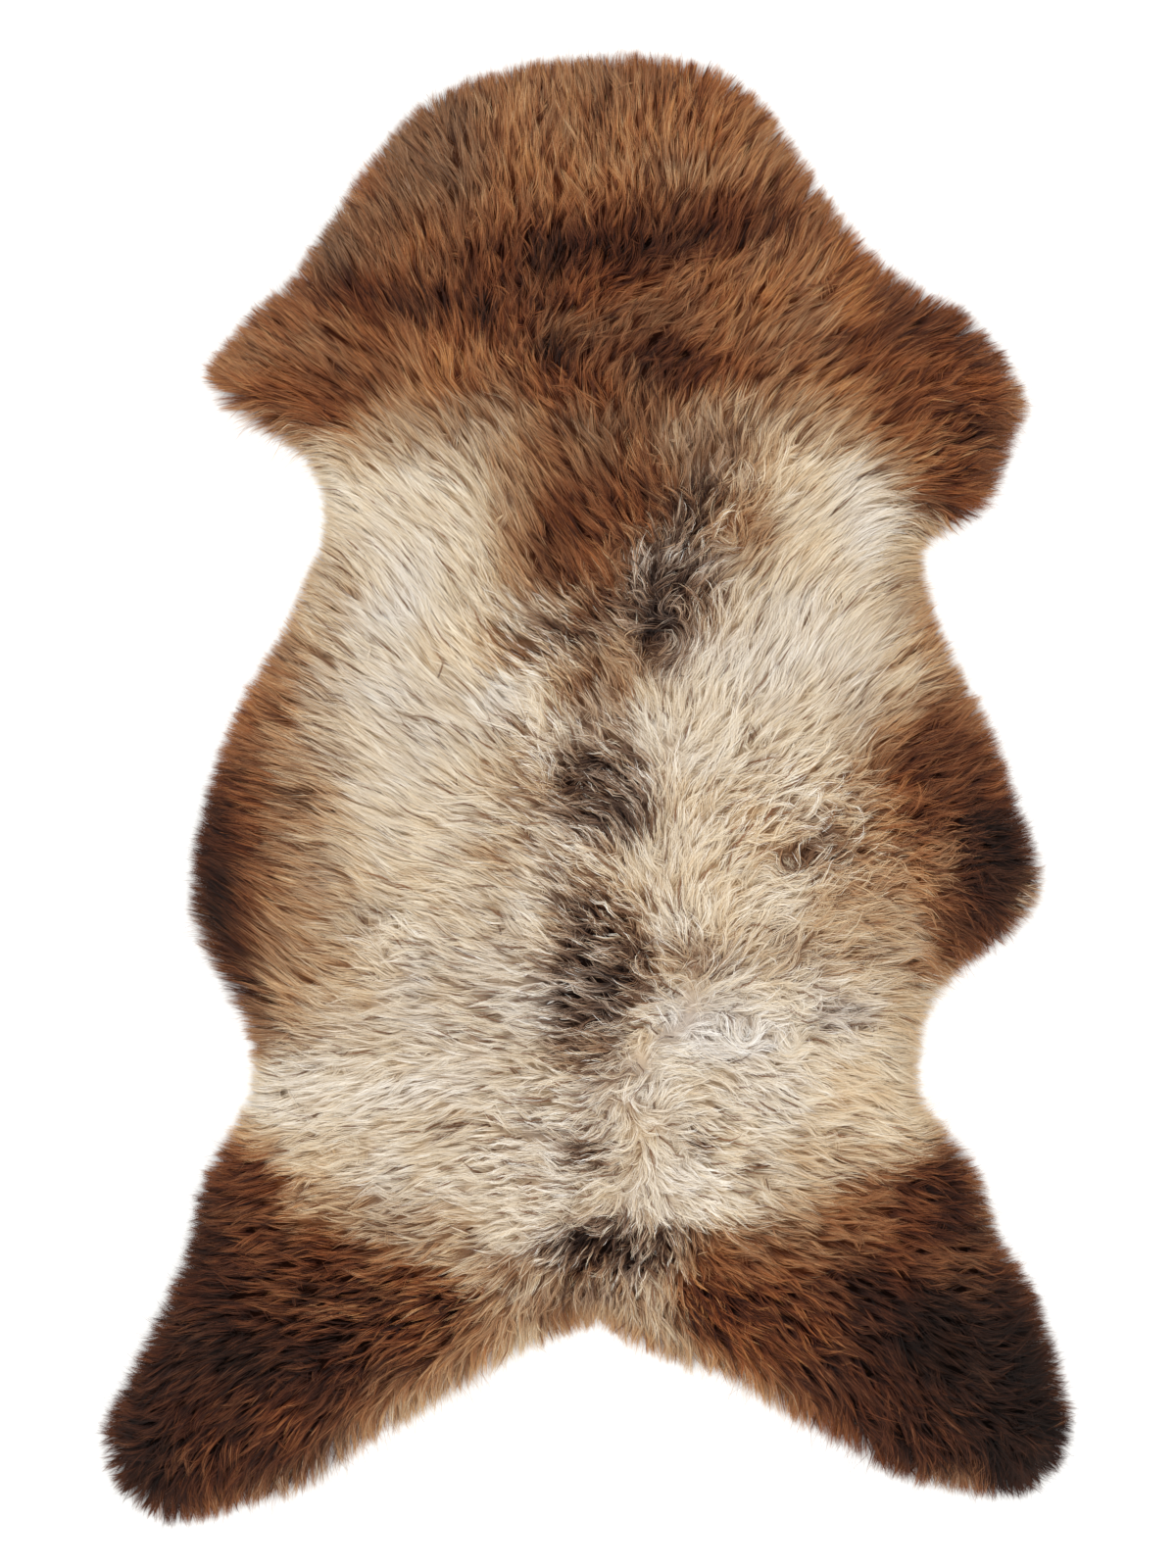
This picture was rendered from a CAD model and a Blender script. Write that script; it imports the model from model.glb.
"""A lambskin laid flat, wool side up: the tanned pelt, its underwool and its long wool."""
import math

import bmesh
import bpy
import numpy as np
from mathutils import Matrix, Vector
from mathutils.bvhtree import BVHTree


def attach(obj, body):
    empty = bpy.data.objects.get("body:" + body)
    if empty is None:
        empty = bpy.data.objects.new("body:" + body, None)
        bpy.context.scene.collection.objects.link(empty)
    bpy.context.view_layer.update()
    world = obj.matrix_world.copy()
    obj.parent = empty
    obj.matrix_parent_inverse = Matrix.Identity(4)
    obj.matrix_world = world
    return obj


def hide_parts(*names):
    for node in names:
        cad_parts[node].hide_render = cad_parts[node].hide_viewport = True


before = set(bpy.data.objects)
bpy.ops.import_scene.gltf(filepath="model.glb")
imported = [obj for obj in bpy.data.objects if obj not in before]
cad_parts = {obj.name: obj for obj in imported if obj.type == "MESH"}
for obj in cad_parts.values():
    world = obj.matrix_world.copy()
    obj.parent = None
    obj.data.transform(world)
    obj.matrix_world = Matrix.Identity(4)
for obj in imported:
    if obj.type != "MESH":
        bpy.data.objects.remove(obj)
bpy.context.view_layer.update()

# Camera
# The photograph was taken from straight above with a long lens, the neck at the top.
# Its 1200 x 1600 pixels are 0.657 mm each on the skin, which is 1 m long.

MM = 0.001
PIXEL = 0.657 * MM
PHOTO_SIZE = (1200, 1600)
SKIN_MIDDLE = (603, 803)  # pixel of the photograph over the origin
WOOL_TOP = 30 * MM  # level that the photograph's scale holds for
LENS = 85.0
SENSOR = 36.0


def place_of(pixel_x, pixel_y):
    """Where a pixel of the photograph lies on the skin, in metres."""
    return (pixel_x - SKIN_MIDDLE[0]) * PIXEL, (SKIN_MIDDLE[1] - pixel_y) * PIXEL


camera_data = bpy.data.cameras.new("camera")
camera_data.lens = LENS
camera_data.sensor_width = SENSOR
camera = bpy.data.objects.new("camera", camera_data)
centre_x, centre_y = place_of(PHOTO_SIZE[0] / 2, PHOTO_SIZE[1] / 2)
camera.location = (centre_x, centre_y, WOOL_TOP + PHOTO_SIZE[1] * PIXEL * LENS / SENSOR)
bpy.context.scene.collection.objects.link(camera)
bpy.context.scene.camera = camera

# Pelt
# The tanned hide itself, about 2 mm of leather with a suede flesh side that lies on
# the floor. It was cut along one natural outline, in under the overhanging wool.

PELT_THICKNESS = 2 * MM
RIM_LEVEL = 4.5 * MM  # the frame's rim has its lower line here

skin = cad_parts["lambskin"]
bpy.ops.object.select_all(action="DESELECT")


def merged_copy(source):
    """The frame's mesh with its loose triangles joined."""
    mesh = bmesh.new()
    mesh.from_mesh(source.data)
    bmesh.ops.remove_doubles(mesh, verts=mesh.verts, dist=0.01 * MM)
    return mesh


def closed_line(mesh, level):
    """The closed line of edges that lies at one level of the mesh, as points in order."""
    edges = [e for e in mesh.edges if all(abs(v.co.z - level) < 0.02 * MM for v in e.verts)]
    edges = [e for e in edges if any(abs(f.normal.z) < 0.999 for f in e.link_faces)]
    beside = {}
    for edge in edges:
        a, b = edge.verts
        beside.setdefault(a, []).append(b)
        beside.setdefault(b, []).append(a)
    start = corner = max(beside, key=lambda v: v.co.y)
    line, before = [], None
    while corner is not None and (corner is not start or not line):
        line.append(corner.co.copy())
        onward = [v for v in beside[corner] if v is not before]
        before, corner = corner, onward[0] if onward else None
    return np.array([tuple(point[:2]) for point in line])


def add_node(tree, kind, settings=None, inputs=None, links=None):
    """Adds a node, sets its settings and inputs, and links other nodes' outputs to it."""
    node = tree.nodes.new(kind)
    for name, value in (settings or {}).items():
        setattr(node, name, value)
    for name, value in (inputs or {}).items():
        node.inputs[name].default_value = value
    for name, output in (links or {}).items():
        tree.links.new(output, node.inputs[name])
    return node


def linear(hex_colour):
    """An sRGB hex colour as linear red, green, blue and alpha."""
    parts = [int(hex_colour[i:i + 2], 16) / 255 for i in (1, 3, 5)]
    return tuple(c / 12.92 if c <= 0.04045 else ((c + 0.055) / 1.055) ** 2.4 for c in parts) + (1.0,)


def finished_object(name, mesh):
    """A mesh object at the origin, made from a bmesh."""
    data = bpy.data.meshes.new(name)
    mesh.to_mesh(data)
    mesh.free()
    made = bpy.data.objects.new(name, data)
    bpy.context.scene.collection.objects.link(made)
    return made


solid = merged_copy(skin)
pelt_line = closed_line(solid, 0.0)
rim_line = closed_line(solid, RIM_LEVEL)
height_tree = BVHTree.FromBMesh(solid)
pelt_mesh = solid.copy()
solid.free()
upper = [f for f in pelt_mesh.faces if f.calc_center_median().z > 0.001 * MM]
bmesh.ops.delete(pelt_mesh, geom=upper, context="FACES")
bmesh.ops.dissolve_faces(pelt_mesh, faces=pelt_mesh.faces)
bmesh.ops.triangulate(pelt_mesh, faces=pelt_mesh.faces, quad_method="BEAUTY", ngon_method="BEAUTY")
pelt_area = sum(f.calc_area() for f in pelt_mesh.faces)
raised = bmesh.ops.extrude_face_region(pelt_mesh, geom=pelt_mesh.faces)
lifted = [item for item in raised["geom"] if isinstance(item, bmesh.types.BMVert)]
bmesh.ops.translate(pelt_mesh, verts=lifted, vec=(0, 0, PELT_THICKNESS))
bmesh.ops.recalc_face_normals(pelt_mesh, faces=pelt_mesh.faces)
pelt = finished_object("pelt", pelt_mesh)

suede = bpy.data.materials.new("tanned_suede")
suede.use_nodes = True
tree = suede.node_tree
shader = tree.nodes["Principled BSDF"]
shader.inputs["Roughness"].default_value = 0.9
shader.inputs["Specular IOR Level"].default_value = 0.25
spot = add_node(tree, "ShaderNodeTexCoord")
NAP_GRAIN = 1.2 * MM
cloudy = add_node(tree, "ShaderNodeTexNoise", inputs={"Scale": 1 / (60 * MM), "Detail": 3.0},
                  links={"Vector": spot.outputs["Object"]})
nap = add_node(tree, "ShaderNodeTexNoise", inputs={"Scale": 1 / NAP_GRAIN, "Detail": 2.0},
               links={"Vector": spot.outputs["Object"]})
tan = add_node(tree, "ShaderNodeValToRGB", links={"Fac": cloudy.outputs["Fac"]})
tan.color_ramp.elements[0].position = 0.3
tan.color_ramp.elements[0].color = linear("#cbb795")
tan.color_ramp.elements[1].position = 0.7
tan.color_ramp.elements[1].color = linear("#e2d3b8")
tree.links.new(tan.outputs["Color"], shader.inputs["Base Color"])
bump = add_node(tree, "ShaderNodeBump", inputs={"Strength": 0.4, "Distance": 0.2 * MM},
                links={"Height": nap.outputs["Fac"]})
tree.links.new(bump.outputs["Normal"], shader.inputs["Normal"])
pelt.data.materials.append(suede)
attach(pelt, "root")

# The lie of the wool
# Wool leaves the pelt along the back's parting and was combed outwards: to the neck on the
# cape, sideways on the trunk and to the feet on the hind legs, with whirls on the back.

CELL = 2 * MM  # of the maps of the skin's height, edge and lie
MARGIN = 40 * MM


def line_distance(line, x, y):
    """Distance of places from a closed line, positive inside it."""
    nearest = np.full(x.shape, np.inf)
    inside = np.zeros(x.shape, bool)
    for (ax, ay), (bx, by) in zip(line, np.roll(line, -1, 0)):
        dx, dy = bx - ax, by - ay
        share = np.clip(((x - ax) * dx + (y - ay) * dy) / (dx * dx + dy * dy), 0, 1)
        nearest = np.minimum(nearest, np.hypot(x - ax - share * dx, y - ay - share * dy))
        if ay != by:
            crosses = ((ay > y) != (by > y)) & (x < ax + dx * (y - ay) / dy)
            inside ^= crosses
    return np.where(inside, nearest, -nearest)


low_x, low_y = rim_line.min(0) - MARGIN
high_x, high_y = rim_line.max(0) + MARGIN
map_x = np.arange(low_x, high_x, CELL)
map_y = np.arange(low_y, high_y, CELL)
grid_x, grid_y = np.meshgrid(map_x, map_y)


def read_map(values, x, y):
    """Values of a map at places, blended between its cells."""
    column = np.clip(np.asarray((x - low_x) / CELL), 0, len(map_x) - 1.001)
    row = np.clip(np.asarray((y - low_y) / CELL), 0, len(map_y) - 1.001)
    c, r = column.astype(int), row.astype(int)
    fc, fr = column - c, row - r
    low = values[r, c] * (1 - fc) + values[r, c + 1] * fc
    high = values[r + 1, c] * (1 - fc) + values[r + 1, c + 1] * fc
    return low * (1 - fr) + high * fr


def blurred(values, times):
    """A map smoothed with its neighbours."""
    for _ in range(times):
        for axis in (0, 1):
            values = (np.roll(values, 1, axis) + 2 * values + np.roll(values, -1, axis)) / 4
    return values


def top_height(x, y):
    """Height of the frame's top at a place, or just over the floor outside it."""
    hit = height_tree.ray_cast(Vector((x, y, 1.0)), Vector((0, 0, -1)))[0]
    return hit.z if hit is not None else 1.5 * MM


inside_rim = line_distance(rim_line, grid_x, grid_y)
inside_pelt = line_distance(pelt_line, grid_x, grid_y)
heights = np.array([top_height(x, y) for x, y in zip(grid_x.flat, grid_y.flat)])
heights = blurred(heights.reshape(grid_x.shape), 7)


def soft_noise(x, y, size, seed):
    """Smooth random values from -1 to 1, with blobs of about the size."""
    lattice = np.random.default_rng(seed).uniform(-1, 1, (64, 64))
    u, v = x / size + 100, y / size + 100
    i, j = np.floor(u).astype(int), np.floor(v).astype(int)
    fu, fv = u - i, v - j
    fu, fv = fu * fu * (3 - 2 * fu), fv * fv * (3 - 2 * fv)
    low = lattice[j % 64, i % 64] * (1 - fu) + lattice[j % 64, (i + 1) % 64] * fu
    high = lattice[(j + 1) % 64, i % 64] * (1 - fu) + lattice[(j + 1) % 64, (i + 1) % 64] * fu
    return low * (1 - fv) + high * fv


# Headings of the wool at places of the photograph: pixel x, pixel y, degrees, with 0 to
# the right and 90 to the neck.
LIE = """
600 100 90, 500 130 100, 430 150 115, 370 200 120, 320 260 125, 260 340 140, 220 370 150,
250 400 155, 300 430 160, 350 380 135, 400 300 115, 450 250 110, 500 300 92, 560 230 95,
650 150 92, 700 130 75, 760 150 65, 800 200 65, 850 240 55, 900 280 40, 950 310 20,
1000 350 10, 1040 400 0, 1010 450 30, 1000 500 35, 950 530 -5, 900 420 30, 850 350 40,
800 420 45, 760 330 60, 700 350 40, 650 350 45, 600 350 45, 560 400 130, 640 420 100,
700 430 88, 760 450 85, 600 500 118, 520 480 115, 440 500 130, 370 500 140, 340 560 135,
420 600 125, 500 580 115, 560 580 120, 640 540 130, 700 620 75, 720 580 60, 800 520 40,
880 520 35, 850 600 42, 920 600 30, 760 600 55, 800 660 55, 830 640 78, 900 680 40,
960 720 30, 320 650 150, 400 680 140, 480 680 135, 540 650 155, 600 640 150, 620 700 125,
660 720 120, 700 720 70, 760 740 55, 840 740 50, 920 760 35, 1000 780 15, 300 740 155,
260 790 165, 400 760 150, 500 760 140, 640 780 155, 720 790 40, 800 800 25, 880 820 25,
960 830 20, 1040 850 10, 1040 900 -10, 1000 950 -30, 960 1000 -35, 220 860 160,
300 850 158, 400 850 155, 500 830 165, 560 850 150, 680 850 100, 740 860 35, 800 870 5,
880 880 10, 960 900 -5, 220 950 135, 260 1010 140, 300 960 155, 400 930 160, 580 920 150,
640 950 145, 690 940 120, 720 930 60, 780 960 30, 860 960 25, 920 980 10, 300 1040 172,
400 1030 170, 500 1020 165, 680 1000 170, 740 1000 15, 820 1010 5, 900 1030 0,
940 1050 -20, 270 1090 180, 340 1120 195, 420 1120 200, 500 1110 180, 580 1090 175, 625 1150 215,
760 1080 -20, 850 1080 -5, 920 1090 -20, 960 1130 -30, 250 1160 205, 340 1180 188,
440 1190 185, 540 1190 180, 610 1190 165, 640 1195 145, 668 1190 -50, 690 1210 -40, 700 1120 -5,
700 1155 -15, 745 1140 -5, 780 1200 -10, 860 1200 -3, 940 1200 0,
990 1220 -20, 220 1220 195, 320 1250 183, 520 1250 188, 600 1260 200, 640 1250 235, 665 1260 290,
740 1250 -25, 820 1260 -15, 900 1260 -8, 980 1260 -15, 1030 1300 -20, 190 1310 200,
280 1310 185, 480 1310 190, 530 1320 235, 560 1350 270, 600 1330 260, 640 1340 280,
680 1350 285, 700 1370 300, 760 1370 315, 820 1340 330, 900 1330 335, 980 1330 350,
1050 1350 5, 1080 1420 -5, 1080 1480 -40, 1040 1520 -80, 980 1500 -60, 920 1500 -70,
860 1450 -55, 800 1420 -52, 900 1400 -50, 980 1420 -30, 1020 1400 0, 160 1380 215,
240 1370 195, 340 1360 192, 440 1360 200, 500 1370 225, 140 1450 195, 200 1430 213,
280 1430 212, 360 1430 222, 420 1420 230, 300 1490 222, 230 1500 230, 170 1530 255,
130 1500 215, 220 1530 260
"""
LIE_REACH = 21 * MM

lie_rows = np.array([[float(n) for n in row.split()] for row in LIE.replace("\n", " ").split(",")])
lie_x, lie_y = place_of(lie_rows[:, 0], lie_rows[:, 1])
lie_angle = np.radians(lie_rows[:, 2])
flow_x, flow_y = np.zeros(grid_x.shape), np.zeros(grid_x.shape)
for x, y, angle in zip(lie_x, lie_y, lie_angle):
    distance = np.hypot(grid_x - x, grid_y - y)
    weight = np.exp(-(distance / LIE_REACH) ** 2 / 2) + 1e-4 / (1 + (distance / LIE_REACH) ** 4)
    flow_x += weight * math.cos(angle)
    flow_y += weight * math.sin(angle)

# Whirls: pixel x, pixel y, reach in pixels, turn in degrees from straight outwards.
WHIRLS = [
    (682, 652, 34, 95),
    (745, 548, 16, 90),
    (652, 1118, 34, 95),
    (762, 1055, 22, 95),
    (808, 1065, 18, 95),
    (805, 882, 20, 95),
]
OUTWARD = 0.5  # how far the wool turns outwards at the rim
strength = np.hypot(flow_x, flow_y)
flow_x, flow_y = flow_x / strength, flow_y / strength
for pixel_x, pixel_y, reach, turn in WHIRLS:
    x, y = place_of(pixel_x, pixel_y)
    away_x, away_y = grid_x - x, grid_y - y
    distance = np.hypot(away_x, away_y) + 0.1 * MM
    pull = 1.8 * np.exp(-(distance / (reach * PIXEL)) ** 2)
    cosine, sine = math.cos(math.radians(turn)), math.sin(math.radians(turn))
    flow_x += pull * (away_x * cosine - away_y * sine) / distance
    flow_y += pull * (away_x * sine + away_y * cosine) / distance
rise_y, rise_x = np.gradient(blurred(inside_rim, 18), CELL)
near_rim = OUTWARD * np.exp(-np.maximum(inside_rim, 0) / (12 * MM))
steepness = np.hypot(rise_x, rise_y) + 0.1
strength = np.hypot(flow_x, flow_y)
flow_x = flow_x / strength * (1 - near_rim) - rise_x / steepness * near_rim
flow_y = flow_y / strength * (1 - near_rim) - rise_y / steepness * near_rim
strength = np.hypot(flow_x, flow_y) + 1e-6
flow_x, flow_y = flow_x / strength, flow_y / strength
parting = blurred(np.gradient(flow_x, CELL, axis=1) + np.gradient(flow_y, CELL, axis=0), 2)


def heading_at(x, y):
    """The wool's heading at places, as two parts of one length."""
    along_x, along_y = read_map(flow_x, x, y), read_map(flow_y, x, y)
    size = np.hypot(along_x, along_y) + 1e-9
    return along_x / size, along_y / size


# Colours of the coat
# Undyed wool of a mouflon-brown lamb: dark at the root, bleached at the tip. All its
# colours lie on one chart, from dark to light one way and russet, fawn, silver the other.

LIGHTNESS = (0.03, 0.09, 0.16, 0.28, 0.43, 0.58, 0.71, 0.81, 0.89, 0.96)
RUSSET = ("#0f0602", "#290f06", "#491f0e", "#753a1a", "#a55d2e",
          "#c98746", "#e0aa6c", "#eac796", "#f4dfba", "#fbf1dd")
FAWN = ("#0c0705", "#22130c", "#3c2418", "#62402a", "#8c6547",
        "#b18c69", "#cbb08c", "#e0cdae", "#efe2cb", "#faf4e8")
SILVER = ("#090808", "#191615", "#2e2824", "#50463f", "#776b62",
          "#9f9186", "#c0b4a9", "#d7cec5", "#eae4dd", "#f8f5f1")

# Kinds of coat: lightness at the root and at the tip, hue at the root and at the tip (0 is
# russet, 0.5 fawn, 1 silver), spread of lightness, and share of dark staples in it.
COATS = {
    "black_brown": (0.02, 0.12, 0.34, 0.44, 0.035, 0.14),
    "umber": (0.03, 0.22, 0.18, 0.32, 0.05, 0.20),
    "dark_chestnut": (0.07, 0.35, 0.08, 0.24, 0.06, 0.18),
    "chestnut": (0.16, 0.52, 0.20, 0.32, 0.06, 0.12),
    "tawny": (0.22, 0.62, 0.20, 0.32, 0.06, 0.12),
    "rust": (0.04, 0.43, 0.06, 0.18, 0.12, 0.32),
    "taupe": (0.20, 0.48, 0.45, 0.62, 0.05, 0.14),
    "charcoal": (0.08, 0.50, 0.68, 0.80, 0.14, 0.30),
    "badger": (0.07, 0.70, 0.66, 0.70, 0.18, 0.42),
    "fawn": (0.42, 0.75, 0.42, 0.54, 0.06, 0.14),
    "gold": (0.68, 0.89, 0.46, 0.40, 0.03, 0.06),
    "cream": (0.73, 0.90, 0.60, 0.62, 0.03, 0.05),
    "streaked": (0.64, 0.90, 0.70, 0.68, 0.05, 0.22),
    "olive": (0.32, 0.88, 0.54, 0.46, 0.12, 0.30),
    "pale": (0.76, 0.93, 0.70, 0.74, 0.025, 0.04),
    "silver": (0.70, 0.94, 0.90, 0.88, 0.04, 0.06),
    "honey": (0.46, 0.79, 0.34, 0.30, 0.05, 0.14),
    "ash": (0.42, 0.78, 0.85, 0.86, 0.07, 0.16),
    "russet": (0.16, 0.50, 0.08, 0.18, 0.06, 0.14),
    "gap": (0.03, 0.15, 0.50, 0.55, 0.05, 0.60),
}

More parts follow.
